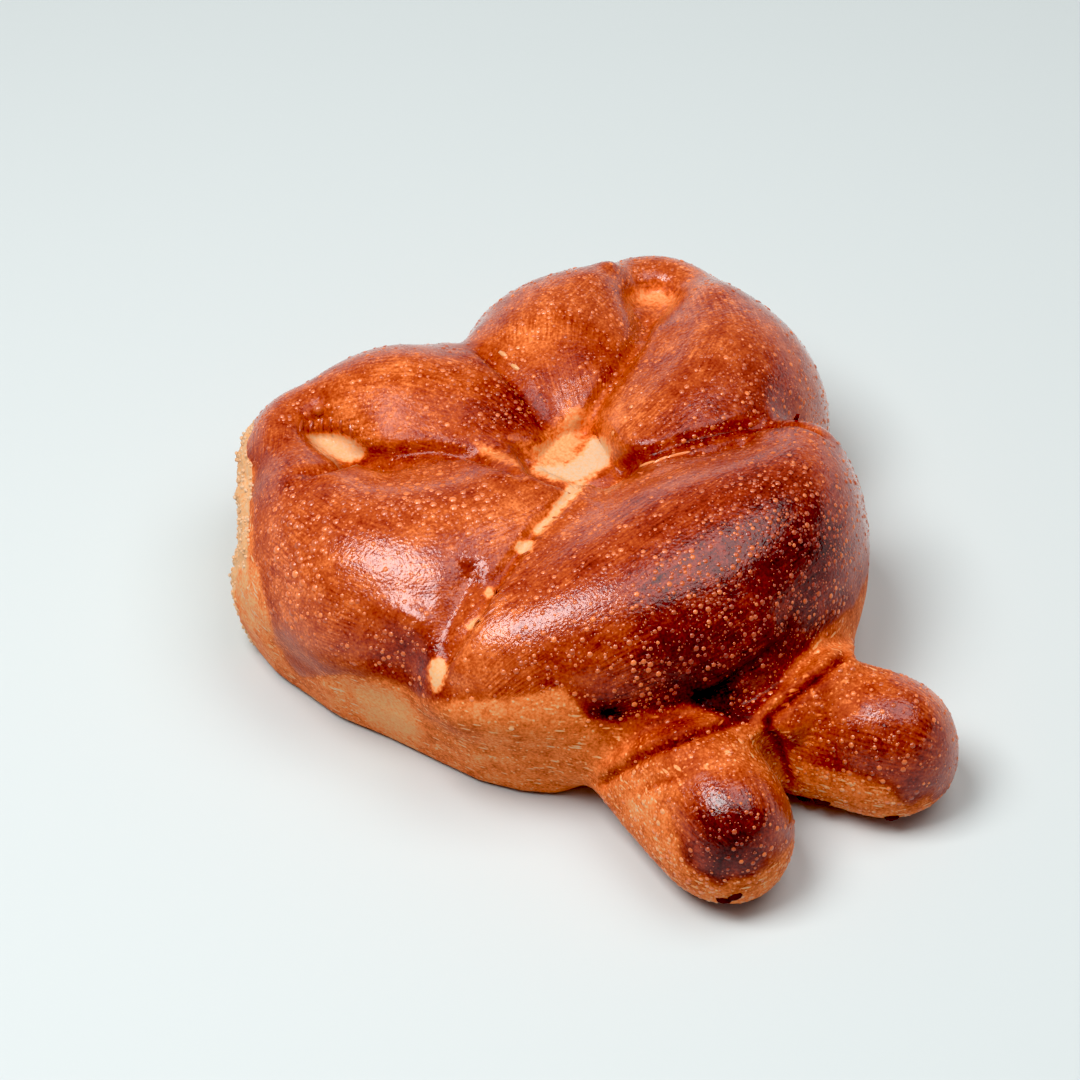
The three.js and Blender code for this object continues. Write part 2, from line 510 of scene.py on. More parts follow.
points = points_of(crust)
facing = normals_of(crust) @ TO_CAMERA > FACING_FROM
x, y = in_picture(points)
cells, map_size = map_cells(np.stack([x, y], axis=1) / PIXELS_PER_MM * MM)
near = np.full(map_size, -np.inf)
np.maximum.at(near, tuple(cells[facing].T), nearness(points)[facing])
beside_cells = np.max([shifted(near, i, j) for i in NEXT_TO for j in NEXT_TO], axis=0)
near = np.where(np.isfinite(near), near, beside_cells)
near = np.where(np.isfinite(near), near, near[np.isfinite(near)].min() - ROOT_BALL)
level = blurred(rolled_over(near, ROOT_BALL), 1)
share = ramp(inside(x, y, ROOTS), 0, ROOT_EDGE) * facing
rise = share * np.maximum(level[tuple(cells.T)] - nearness(points), 0)
move_to(crust, points + rise[:, None] * TO_CAMERA)
remesh(crust, SKIN_STEP)
smooth(crust, SKIN_SMOOTHING)
print("creases filled by up to", round(float(rise.max() / MM), 1), "mm")
print("skin of", len(crust.data.polygons), "squares")

# %% [markdown]
# ## Furrows
#
# Where two strands meet there is still a narrow furrow, and the strand on top ends in a rounded lip. Each
# furrow is a traced line that runs out at both ends. The hollow gets an even floor, dimples are pressed in
# within an outline, low swells round off the back edge, and the torn left flank is rough. All this could be
# sculpted by hand, but a list of lines is easier to correct.

# %% Press the furrows in
LIP_RISE = 1.6 * MM
LIP_FALL = 4.5 * MM
FURROW_SHIFT = 0.3
FURROW_LINE = 0.8 * MM
WIDE_CREASE_SHADE_REACH = 4 * MM
TAPER = 3.5 * MM
# The line, depth and width in mm, side and height of the lip, and how much painted shade darkens the
# bottom.
FURROWS = {
    "loop_left": ([
        (292, 478), (330, 470), (372, 460), (430, 453), (480, 461), (530, 478),
    ], 1.2, 1.5, -1, 0.7, 0.06),
    "belly_left": ([
        (580, 488), (545, 522), (522, 550), (495, 588), (468, 630), (450, 656), (438, 676),
    ], 1.4, 1.4, 1, 0.8, 0.0),
    "belly_right": ([
        (612, 480), (650, 456), (690, 441), (745, 429), (800, 425), (834, 441),
    ], 1.2, 1.4, -1, 0.6, 0.06),
    "loop_right": ([
        (652, 330), (640, 346), (622, 370), (603, 398), (588, 428), (580, 446),
    ], 1.2, 1.5, 1, 0.6, 0.0),
    "cleft": ([(474, 348), (488, 358), (512, 381), (532, 408), (548, 436)], 1.4, 1.6, -1, 0.5, 0.08),
    "left_foot": ([
        (592, 790), (610, 775), (659, 746), (717, 726), (739, 719), (760, 721),
    ], 1.6, 0.8, 1, 0.4, 0.24),
    "right_foot": ([(764, 722), (792, 697), (823, 672), (848, 650)], 1.6, 0.8, 1, 0.4, 0.24),
    "between_feet": ([(762, 722), (776, 742), (786, 770), (792, 795)], 1.2, 1.4, 1, 0.0, 0.30),
    "flap": ([(690, 704), (716, 690), (740, 673), (768, 652), (792, 632)], 0.7, 1.1, 1, 0.6, 0.04),
    "foot_fold": ([(634, 797), (645, 788), (660, 782), (690, 774)], 0.4, 0.9, -1, 0.4, 0.16),
}
# Outline, depth and soft edge in mm.
DIMPLES = {
    "lobe": ([
        (455, 560), (480, 562), (490, 582), (468, 622), (446, 655), (432, 652), (442, 610),
    ], 2.4, 6.0),
    "left": ([
        (299, 432), (323, 429), (341, 430), (355, 437), (367, 446), (371, 455), (362, 462), (352, 465),
        (340, 464), (325, 456), (310, 447),
    ], 2.0, 1.8),
    "right": ([
        (622, 297), (635, 286), (655, 281), (678, 287), (690, 298), (678, 308), (655, 312), (635, 308),
    ], 2.0, 3.2),
}
EDGE_OUTSIDE = 0.3
# Place, radius and height in mm.
SWELLS = [((596, 277), 6, 1.5), ((611, 273), 3.6, 2.4), ((712, 290), 6, 1.2)]
HOLLOW_OUTLINE = [
    (508, 440), (524, 467), (546, 480), (572, 488), (590, 481), (613, 466), (614, 449), (604, 436),
    (590, 428), (576, 424), (556, 434), (535, 444),
]
HOLLOW_FLOOR = 32 * MM
HOLLOW_EDGE = 2.2 * MM
HOLLOW_LEVELLED = 0.85
TRENCH_EDGE = (13 * MM, 9 * MM)
TORN_BEARING = radians(146)
TORN_SIDE = np.array((cos(TORN_BEARING), sin(TORN_BEARING), 0))
TORN_ALONG = np.array((-sin(TORN_BEARING), cos(TORN_BEARING), 0))
KNOT_MIDDLE = np.array((5.76, 3.53, 0)) * MM
TORN_FROM = 72.5 * MM
TORN_EDGE = 1.5 * MM
TORN_MIDDLE = -13 * MM
TORN_HALF_LENGTH = 22 * MM
TORN_TOP = 34 * MM
TORN_FADE = 3 * MM
# Height, size and seed of the lumps on the torn flank and along its edge.
TORN_ROUGH = (1.1 * MM, 2.2 * MM, 0.0)
TORN_RAGGED = (3.5 * MM, 7 * MM, 13.0)


def lumps(points, height, size, seed):
    """Soft random lumps up to a height, of a size."""
    shift = Vector((seed, 2 * seed, 3 * seed))
    return height * np.array([noise.noise(Vector(p) + shift) for p in points / size])


def torn_share(points):
    """1 on the flank where the next bun was torn off, 0 elsewhere."""
    off = points - KNOT_MIDDLE
    ragged = lumps(points, *TORN_RAGGED)
    from_middle = np.abs(off @ TORN_ALONG - TORN_MIDDLE) + ragged
    share = ramp(off @ TORN_SIDE, TORN_FROM, TORN_FROM + TORN_EDGE)
    share *= ramp(from_middle, TORN_HALF_LENGTH, TORN_HALF_LENGTH - TORN_FADE)
    return share * ramp(points[:, 2] + ragged, TORN_TOP, TORN_TOP - TORN_FADE)


def tapered(points, line):
    """1 beside a line, and 0 at its two ends and past them."""
    share = np.ones(len(points))
    for way in (line, line[::-1]):
        run = way[len(way) // 4] - way[0]
        share *= ramp((points - way[0]) @ run / np.linalg.norm(run), 0, TAPER)
    return share


points = points_of(crust)
top = normals_of(crust)[:, 2] > FACING_FROM
x, y = in_picture(points)
trench = ramp(away(points, HOLLOW), *TRENCH_EDGE) * top
points[:, 2] += trench * np.maximum(HOLLOW_FLOOR - points[:, 2], 0)
sunk = ramp(inside(x, y, HOLLOW_OUTLINE), -EDGE_OUTSIDE * HOLLOW_EDGE, HOLLOW_EDGE) * top
points[:, 2] += HOLLOW_LEVELLED * sunk * (HOLLOW_FLOOR - points[:, 2])
move_to(crust, points)
normals = normals_of(crust)
tree = skin_tree()
to_furrow = np.full(len(points), np.inf)
# Painted shade: each furrow's bottom is darkened, and the furrows with a dark bottom also get a weaker,
# wider band.
painted_crease_shade = np.zeros(len(points))
wide_crease_shade_share = np.zeros(len(points))
for pixels, depth, width, lip_side, lip, dark in FURROWS.values():
    line = traced(pixels, tree)
    distance, side = beside(points, line)
    taper = tapered(points, line)
    to_furrow = np.minimum(to_furrow, distance)
    painted_crease_shade = np.maximum(painted_crease_shade, dark * taper * bump(distance, FURROW_LINE))
    if dark:
        wide_crease_shade_share = np.maximum(wide_crease_shade_share, bump(distance, WIDE_CREASE_SHADE_REACH))
    beyond = distance * side * lip_side
    press = -depth * MM * bump(beyond + FURROW_SHIFT * width * MM, width * MM)
    press += lip * MM * ramp(beyond, 0, LIP_RISE) * bump(np.maximum(beyond - LIP_RISE, 0), LIP_FALL)
    points += (taper * press)[:, None] * normals
for pixel, radius, height in SWELLS:
    points[:, 2] += height * MM * bump(from_seen(pixel, points, tree), radius * MM)
x, y = in_picture(points)
shown = normals @ TO_CAMERA > 0
for outline, depth, edge in DIMPLES.values():
    press = depth * MM * ramp(inside(x, y, outline), -EDGE_OUTSIDE * edge * MM, edge * MM) * shown
    points -= press[:, None] * TO_CAMERA
roughness = torn_share(points) * lumps(points, *TORN_ROUGH)
move_to(crust, points + roughness[:, None] * TORN_SIDE)
smooth(crust, times=2, factor=0.4)
print("furrows:", ", ".join(FURROWS))

# %% [markdown]
# ## Egg wash
#
# The baker brushed the top with egg and missed the sides, so a wavy line parts the washed crust from the
# bare one, and each foot has a washed cap of its own. The line is traced where the photograph shows it, and
# runs level behind. Each point gets its distance inside the wash, because an edge can be waved and softened
# from that.

# %% Measure the brush line
BUN_MIDDLE = Vector((0, 5)) * MM
WASH_LINE = [
    (252, 470), (252, 526), (260, 587), (273, 644), (300, 676), (366, 675), (399, 685), (417, 696),
    (446, 704), (480, 702), (508, 697), (562, 690), (590, 720), (620, 722), (650, 712), (685, 706),
    (718, 717), (747, 721), (771, 698), (800, 656), (845, 615), (859, 598),
]
WASH_TOP = [(930, 420), (720, 200), (300, 260), (200, 420)]
WASH_BEHIND = 20 * MM
BEHIND_FROM = 0.3
IN_VIEW = 0.3
FEET_OUTLINE = [
    (585, 799), (638, 767), (689, 741), (723, 729), (757, 722), (766, 728), (790, 712), (812, 692),
    (832, 672), (856, 653), (1000, 640), (1000, 960), (585, 960),
]
FEET_FROM_Y = -44 * MM
FEET_HEIGHT = 27 * MM
# Outline of the washed cap, the pixel at its middle, and its radius in mm where it doesn't show.
FOOT_WASH = {
    "left": ([
        (660, 802), (684, 784), (704, 772), (730, 768), (755, 770), (780, 782), (796, 800), (802, 830),
        (788, 850), (766, 868), (746, 882), (723, 886), (697, 876), (678, 848), (668, 820),
    ], (728, 826), 16),
    "right": ([
        (792, 746), (815, 736), (837, 726), (858, 708), (874, 684), (900, 668), (930, 676), (954, 710),
        (968, 745), (960, 780), (943, 797), (910, 804), (888, 791), (863, 779), (837, 770), (819, 770),
        (797, 761),
    ], (890, 745), 21),
}
CRISP_BELOW = 25
# Height, size and seed of the waves in the line.
WASH_WAVE = (0.8 * MM, 7 * MM, 0.0)
FOOT_WAVE = (1.2 * MM, 4 * MM, 3.0)
WASH_FADE = (-0.5 * MM, 1.0 * MM)
FOOT_FADE = (-4 * MM, 7 * MM)


def brush_height(points, tree):
    """The height of the brush line at each point's bearing: traced in front, level behind."""
    line = traced(WASH_LINE, tree)
    turns = np.unwrap(np.arctan2(line[:, 1] - BUN_MIDDLE.y, line[:, 0] - BUN_MIDDLE.x))
    behind = np.linspace(turns[-1] + BEHIND_FROM, turns[0] + 2 * pi - BEHIND_FROM, 8)
    bearings = np.concatenate([turns, behind])
    heights = np.concatenate([line[:, 2], np.full(len(behind), WASH_BEHIND)])
    here = np.arctan2(points[:, 1] - BUN_MIDDLE.y, points[:, 0] - BUN_MIDDLE.x)
    return np.interp(here, bearings, heights, period=2 * pi)


tree = skin_tree()
points = points_of(crust)
normals = normals_of(crust)
shown = normals @ TO_CAMERA > 0
x, y = in_picture(points)
wash = points[:, 2] - brush_height(points, tree)
wash += ramp(normals @ TO_CAMERA, 0, IN_VIEW) * (inside(x, y, WASH_LINE + WASH_TOP) - wash)
wash += lumps(points, *WASH_WAVE)
low_in_front = (points[:, 1] < FEET_FROM_Y) & (points[:, 2] < FEET_HEIGHT)
on_feet = np.where(shown, inside(x, y, FEET_OUTLINE) > 0, low_in_front)
caps = np.full(len(points), -1.0)
crisp = np.zeros(len(points))
for outline, pixel, radius in FOOT_WASH.values():
    cap = np.where(shown, inside(x, y, outline), radius * MM - from_seen(pixel, points, tree))
    crisp = np.where(cap > caps, ramp(y - pixel[1], 0, CRISP_BELOW), crisp)
    caps = np.maximum(caps, cap)
wash = np.where(on_feet, caps + lumps(points, *FOOT_WAVE), wash)
washed = ramp(wash, *WASH_FADE)
faded = crisp * washed + (1 - crisp) * ramp(wash, *FOOT_FADE)
soft = np.where(on_feet, faded, washed)
print("washed share", round(float(washed.mean()), 2))

# %% [markdown]
# ## Browning
#
# Washed crust browns more than bare crust, the sole is evenly brown from the tray, and the oven's heat is
# uneven. Hot and cool spots are set where the photograph shows them. The bottoms of the furrows and a few
# spots are painted shade, and two paler spots are painted light. They could be painted on by hand, but
# spots in a list can be read and moved.

# %% Brown the crust
SIDE_BROWN = 0.33
WASH_BROWN = 0.475
EDGE_BROWN = 0.05
EDGE_AT = 1.2 * MM
EDGE_WIDTH = 1.6 * MM
SOLE_BROWN = 0.52
SOLE_FACING = (0.6, 0.9)
WIDE_CREASE_SHADE = 0.07
BARE_HEAT = 0.3
# Place, radius in mm, and how much browner; a few spots are painted shade and light, as noted. The second
# list is for bare crust.
HEAT_AND_PAINTED_LIGHT = [
    ((650, 630), 20, 0.13), ((690, 690), 11, 0.21), ((600, 711), 3.0, 0.20), ((785, 590), 20, 0.22),
    ((830, 540), 12, 0.08), ((780, 395), 8, 0.15), ((720, 400), 14, 0.06), ((625, 412), 7, -0.10),
    # (395, 385) is paler as a painted highlight, because a faint broad one falls there.
    ((520, 345), 6, -0.12), ((395, 385), 12, -0.06), ((505, 420), 8, 0.16), ((470, 400), 10, 0.06),
    ((430, 655), 8, 0.14), ((465, 570), 6, 0.08), ((520, 515), 7, -0.06), ((465, 690), 7, -0.06),
    ((478, 640), 6, -0.09), ((724, 852), 9, 0.30), ((740, 825), 12, 0.12), ((835, 766), 8, 0.13),
    # (768, 722) is painted shade: the dark hole between the feet and the belly.
    ((905, 760), 14, 0.14), ((613, 713), 2.8, 0.17), ((725, 704), 5, 0.10), ((768, 722), 1.2, 1.4),
    # (250, 600) makes the left side paler: pale dough, with painted light where the light falls on it.
    ((250, 600), 12, -0.10), ((340, 695), 9, -0.04), ((650, 800), 9, -0.04), ((640, 560), 10, 0.02),
    ((590, 355), 6, 0.08), ((290, 425), 7, 0.05), ((790, 490), 13, 0.12), ((700, 425), 10, 0.05),
    ((390, 655), 8, 0.09),
]
# The first two bare-crust spots, beside the feet's creases, are browner crust and painted shade.
SIDE_HEAT_AND_SHADE = [((662, 728), 9, 0.22), ((812, 712), 9, 0.17), ((448, 724), 6, 0.05), ((818, 706), 7, 0.06)]
# How much, size and seed of the lumps in the heat.
UNEVEN_HEAT = [(0.06, 14 * MM, 5.0), (0.04, 5 * MM, 7.0)]

brown = SIDE_BROWN + (WASH_BROWN - SIDE_BROWN) * soft
brown += EDGE_BROWN * bump(wash - EDGE_AT, EDGE_WIDTH) * ~on_feet
for pixel, radius, amount in HEAT_AND_PAINTED_LIGHT:
    reach = 1 if amount < 0 else BARE_HEAT + (1 - BARE_HEAT) * soft
    brown += amount * bump(from_seen(pixel, points, tree), radius * MM) * reach
for pixel, radius, amount in SIDE_HEAT_AND_SHADE:
    brown += amount * bump(from_seen(pixel, points, tree), radius * MM) * (1 - soft)
brown += sum(lumps(points, *lump) for lump in UNEVEN_HEAT)
sole = ramp(-normals[:, 2], *SOLE_FACING)
brown += (SOLE_BROWN - brown) * sole
# Painted shade in the furrows: dark along their bottoms, and weaker in a wider band on the washed top.
brown += painted_crease_shade + WIDE_CREASE_SHADE * wide_crease_shade_share * washed * ~on_feet
print("mean browning", round(float(brown.mean()), 2))

# %% [markdown]
# ## Pale dough
#
# Where the strands pulled apart late, and where the next bun was torn off, dough shows that had little time
# to brown. Separate pieces would show seams, so each patch is an outline on the one skin, with a browning
# and a soft edge. Where two patches meet, the deeper one counts more.

# %% Mark the pale dough
# Outline, browning and soft edge in mm.
PALE = {
    "hollow": ([
        (526, 464), (534, 475), (550, 482), (579, 487), (590, 481), (613, 466), (613, 451), (610, 441),
        (601, 434), (590, 434), (585, 442), (577, 452), (569, 457), (558, 460), (540, 460),
    ], 0.0, 1.8),
    "hollow_wall": ([
        (506, 436), (524, 452), (530, 468), (550, 476), (578, 470), (590, 440), (592, 412), (580, 400),
        (566, 400), (552, 424), (534, 436),
    ], 0.15, 4.0),
    "belly_left": ([
        (566, 482), (590, 476), (587, 486), (576, 500), (566, 508), (560, 516), (549, 528), (541, 536),
        (528, 533), (536, 522), (547, 514), (550, 505), (558, 497),
    ], 0.06, 1.1),
    "belly_left_end": ([(515, 540), (537, 540), (532, 552), (523, 557), (513, 550)], 0.05, 0.9),
    "flank": ([
        (346, 684), (372, 683), (399, 690), (415, 702), (421, 722), (427, 748), (398, 742), (368, 726),
    ], 0.15, 3.0),
    "furrow_spot": ([(482, 592), (488, 585), (497, 588), (494, 599), (486, 600)], 0.12, 0.8),
    "furrow_bit": ([(478, 614), (484, 618), (472, 631), (462, 632), (465, 622)], 0.14, 0.9),
    "furrow_patch": ([(430, 657), (446, 655), (450, 668), (442, 692), (432, 694), (425, 672)], 0.07, 1.2),
    "left_dimple": ([
        (303, 433), (323, 431), (341, 432), (355, 438), (366, 447), (369, 455), (362, 461), (352, 464),
        (340, 463), (325, 455), (312, 446),
    ], 0.06, 1.2),
    "right_dimple": ([
        (624, 297), (638, 287), (660, 283), (684, 296), (676, 308), (655, 313), (636, 308),
    ], 0.18, 3.0),
    "inner_edge": ([
        (473, 441), (486, 442), (502, 450), (523, 461), (523, 470), (510, 467), (491, 461), (478, 455),
    ], 0.22, 1.6),
}
TORN_TINT = 0.08
TORN_DEPTH = 2
OUT_OF_SIGHT = -9
DEPTH_LIMITS = (-6, 3)
DEEPER_COUNTS = 3

torn = torn_share(points)
depths = [inside(x, y, outline) / (fade * MM) for outline, _, fade in PALE.values()]
depths = [np.where(shown, depth, OUT_OF_SIGHT) for depth in depths] + [TORN_DEPTH * (2 * torn - 1)]
tints = [tint for _, tint, _ in PALE.values()] + [TORN_TINT]
shares = np.exp(DEEPER_COUNTS * np.clip(depths, *DEPTH_LIMITS))
pale = np.max(depths, axis=0)
pale_brown = np.array(tints) @ shares / shares.sum(axis=0)
print(len(PALE), "pale patches and the torn flank")

# %% [markdown]
# ## Gloss
#
# The egg wash shines on the open crust. It is duller along the furrows, towards its edge and where the
# brush left it thin, and in two creases the stretched skin shines in wrinkles. One gloss all over would
# look like varnish.

# %% Measure the gloss
# Outline, how much duller, and soft edge in mm.
DULL = {
    "left_loop": ([
        (262, 425), (330, 372), (400, 350), (470, 350), (520, 390), (545, 440), (500, 455), (430, 452),
        (372, 462), (300, 432),
    ], 0.85, 3.0),
    "right_loop": ([
        (465, 340), (560, 300), (640, 345), (615, 400), (580, 450), (548, 448), (510, 400),
    ], 0.8, 2.0),
    "front_edge": ([
        (258, 590), (285, 630), (330, 648), (380, 655), (420, 672), (448, 690), (446, 706), (399, 690),
        (366, 682), (300, 684), (262, 650),
    ], 0.9, 2.5),
    "scorch": ([(580, 700), (625, 698), (632, 716), (605, 724), (585, 718)], 0.8, 1.5),
}
FURROW_GLOSS = 0.25
FURROW_SHADE = (1.0 * MM, 5.5 * MM)
# Outline and least gloss.
WRINKLED = [
    ([(548, 396), (560, 378), (597, 366), (595, 395), (586, 420), (574, 448), (556, 446), (551, 420)], 0.8),
    ([(512, 552), (530, 556), (515, 592), (490, 626), (466, 652), (448, 650), (456, 622), (484, 584)], 0.2),
]
WRINKLE_FADE = 1.5 * MM
SATIN_EDGE = 6 * MM
FOOT_SATIN_EDGE = 3 * MM

gloss = FURROW_GLOSS + (1 - FURROW_GLOSS) * ramp(to_furrow, *FURROW_SHADE)
for outline, amount, fade in DULL.values():
    gloss *= 1 - amount * ramp(inside(x, y, outline), 0, fade * MM) * shown
gloss *= ramp(wash, 0, np.where(on_feet, FOOT_SATIN_EDGE, SATIN_EDGE))
wrinkled = np.zeros(len(points))
for outline, shine in WRINKLED:
    share = ramp(inside(x, y, outline), 0, WRINKLE_FADE) * shown
    wrinkled = np.maximum(wrinkled, share)
    gloss = np.maximum(gloss, shine * share)
print("mean gloss", round(float(gloss.mean()), 2))

# %% [markdown]
# ## Run of the strands
#
# Rolling drew the dough out along each strand, and fine streaks in the crust still follow it. One direction
# for the whole bun would cut across the loops, so the nearest strand gives each point a place along and
# round it. All that was measured is then kept with the skin as attributes, for the material to read.

# %% Follow the strands
# Stations along the middle of the strand, and its half width, in mm.
STRANDS = {
    "left_loop": ([
        (0, 24, 20), (-6, 39, 20), (-15, 50, 20), (-30, 61, 20), (-39, 59, 20), (-46, 50, 20),
        (-50, 36, 20), (-49, 22, 20), (-43, 10, 20), (-32, 4, 20), (-18, 3, 20), (-4, 6, 20),
    ], 20),
    "right_loop": ([
        (9, 13, 20), (28, 15, 20), (42, 24, 20), (52, 46, 20), (49, 54, 20), (38, 57, 20), (21, 49, 20),
        (14, 40, 20), (9, 26, 20),
    ], 20),
    "belly": ([
        (-42, -20, 20), (-28, -23, 22), (-13, -23, 22), (6, -21, 22), (21, -18, 22), (32, -13, 22),
        (44, 0, 20),
    ], 24),
    "left_foot": ([(-13, -40, 13), (-18, -72, 13)], 12),
    "right_foot": ([(8, -40, 13), (28, -70, 13)], 12),
}
STRANDS_APART = 40
JUMP = 2.2
STRETCHED = 0.3
BREAK_FADE = (1, 1, 1, 0.7, 0.4)


def keep_with(piece, name, values):
    kind = "FLOAT" if values.ndim == 1 else "FLOAT_VECTOR"
    attribute = piece.data.attributes.new(name, kind, "POINT")
    attribute.data.foreach_set("value" if values.ndim == 1 else "vector", values.astype(np.float32).ravel())


def strand_flow(points):
    """How far along its strand and round it each point lies, in millimetres, with the strand's number."""
    flow = np.zeros((len(points), 3))
    best = np.full(len(points), np.inf)
    for number, (stations, half_width) in enumerate(STRANDS.values()):
        gone = 0.0
        for run, share, off in off_line(points, np.array(stations) * MM):
            length = np.linalg.norm(run)
            distance = lengths(off) / half_width
            sideways = (run[0] * off[:, 1] - run[1] * off[:, 0]) / length
            closer = distance < best
            best[closer] = distance[closer]
            flow[closer, 0] = (gone + share * length)[closer] / MM
            flow[closer, 1] = (np.arctan2(off[:, 2], sideways) * half_width)[closer]
            flow[closer, 2] = STRANDS_APART * number
            gone += length
    return flow


def evenness(flow):
    """1 where the flow is even, 0 along the lines where one strand's flow stops and another's begins."""
    first, second = rows_of(crust.data.edges, "vertices", 2, np.int32).T
    broken = np.zeros(len(flow))
    jumps = lengths(flow[first] - flow[second])
    jumps = (jumps > JUMP) | (jumps < STRETCHED)
    broken[first[jumps]] = 1
    broken[second[jumps]] = 1
    for fade in BREAK_FADE:
        wider = broken.copy()
        np.maximum.at(wider, first, fade * broken[second])
        np.maximum.at(wider, second, fade * broken[first])
        broken = wider
    return 1 - broken


flow = strand_flow(points)
measured = {
    "gloss": gloss, "wash": wash / MM, "brown": brown, "pale": pale, "pale_brown": pale_brown,
    "flow": flow, "even": evenness(flow), "wrinkled": wrinkled,
}
for name, values in measured.items():
    keep_with(crust, name, values)
print("kept with the skin:", ", ".join(measured))

# %% [markdown]
# ## Crust material
#
# One ramp runs from cream through gold, orange and chestnut to scorched black, and the browning picks the
# colour on it, so that every mix stays a colour of bread. Egg wash makes it glossy. Where there is no wash
# the crust is dull, and pale dough is duller still. Fine grain, streaks and small flecks break up each part
# at their real size.

# %% Make the crust material
BROWNING_RAMP = [
    (0.00, (0.66, 0.46, 0.30)), (0.15, (0.76, 0.38, 0.165)), (0.30, (0.79, 0.20, 0.058)),
    (0.45, (0.46, 0.080, 0.021)), (0.60, (0.28, 0.027, 0.010)), (0.75, (0.11, 0.007, 0.004)),
    (0.90, (0.030, 0.001, 0.001)), (1.00, (0.008, 0.001, 0.001)),
]
COAT_ROUGHNESS = 0.11
COAT_IOR = 1.45
BARE_ROUGHNESS = 0.62
GLAZE_SMOOTHER = 0.30
CRUMB_ROUGHNESS = 0.6
CRUMB_DRIER = 0.8
FINE_GRAIN = 0.55 * MM
MOTTLE = 3.0 * MM
FRAY = 1.2 * MM
FLECK = 1.3 * MM
FLECK_RIM = (0.10, 0.26)
DASH = (4.0 * MM, 0.9 * MM)
DASH_RIM = (0.18, 0.32)
DASHED_MOTTLE = (0.40, 0.60)
STREAK = (7, 0.55)
GLAZE_FRAYED = 0.8
GLAZE_EDGE = (0.3, 0.8)
CRUMB_FRAYED = 1.5
CRUMB_EDGE = (0.5, 1.6)
PEEL = 0.7 * MM
PEEL_STREAK = (2.6, 0.7)
PEEL_DEPTH = 0.12 * MM
WRINKLE = (9, 1.0)
FLECKS_RAISED = 0.3
STREAKS_RAISED = 0.6
WRINKLES_RAISED = 5.0
MOTTLED = 0.36
GRAINED = 0.42
MEAN_GRAIN = 0.39
STREAKED = (0.08, 0.34)
DASHES_PALER = 0.30
FLECKS_PALER = (0.07, 0.14)
DOUGH_STREAKED = 0.36
DOUGH_GRAINED = 0.35
DOUGH_MEAN_GRAIN = 0.4


class Finish(Nodes):
    """A bread material under construction."""

    def plus(self, first, second, share):
        """The first value with a share of the second added."""
        return self.math("ADD", first, self.times(second, share))

    def rest(self, value):
        """What a value leaves of 1."""
        return self.math("SUBTRACT", 1.0, value)

    def kept(self, name, output="Fac"):
        return self.node("Attribute", {"attribute_name": name}).outputs[output]

    def place(self):
        return self.node("TexCoord").outputs["Object"]

    def scaled(self, where, *sizes):
        """A texture place in which lengths of these sizes count as 1."""
        scale = [1 / size for size in sizes]
        return self.node("Mapping", Vector=where, Scale=scale).outputs["Vector"]

    def noise(self, where, scale, detail):
        return self.node("TexNoise", Vector=where, Scale=scale, Detail=detail).outputs["Fac"]

    def grain(self, size, detail=2.0):
        return self.noise(self.place(), 1 / size, detail)

    def spots(self, where, scale, low, high):
        """1 in scattered spots, 0 between them."""
        spots = self.node("TexVoronoi", Vector=where, Scale=scale)
        return self.rest(self.between(spots.outputs["Distance"], low, high))

    def streaks(self, length, width):
        """Grain along the strands, so many mm long and wide, about 0 and up to 0.3 either way."""
        grain = self.noise(self.scaled(self.kept("flow", "Vector"), length, width, 1), 1.0, 3.0)
        return self.times(self.math("SUBTRACT", grain, 0.5), self.kept("even"))

    def browning(self, amount):
        """The colour of bread that is so brown."""
        colours = self.node("ValToRGB", Fac=amount)
        stops = colours.color_ramp.elements
        while len(stops) < len(BROWNING_RAMP):
            stops.new(0.5)
        for stop, (place, colour) in zip(stops, BROWNING_RAMP):
            stop.position = place
            stop.color = (*colour, 1)
        return colours.outputs["Color"]


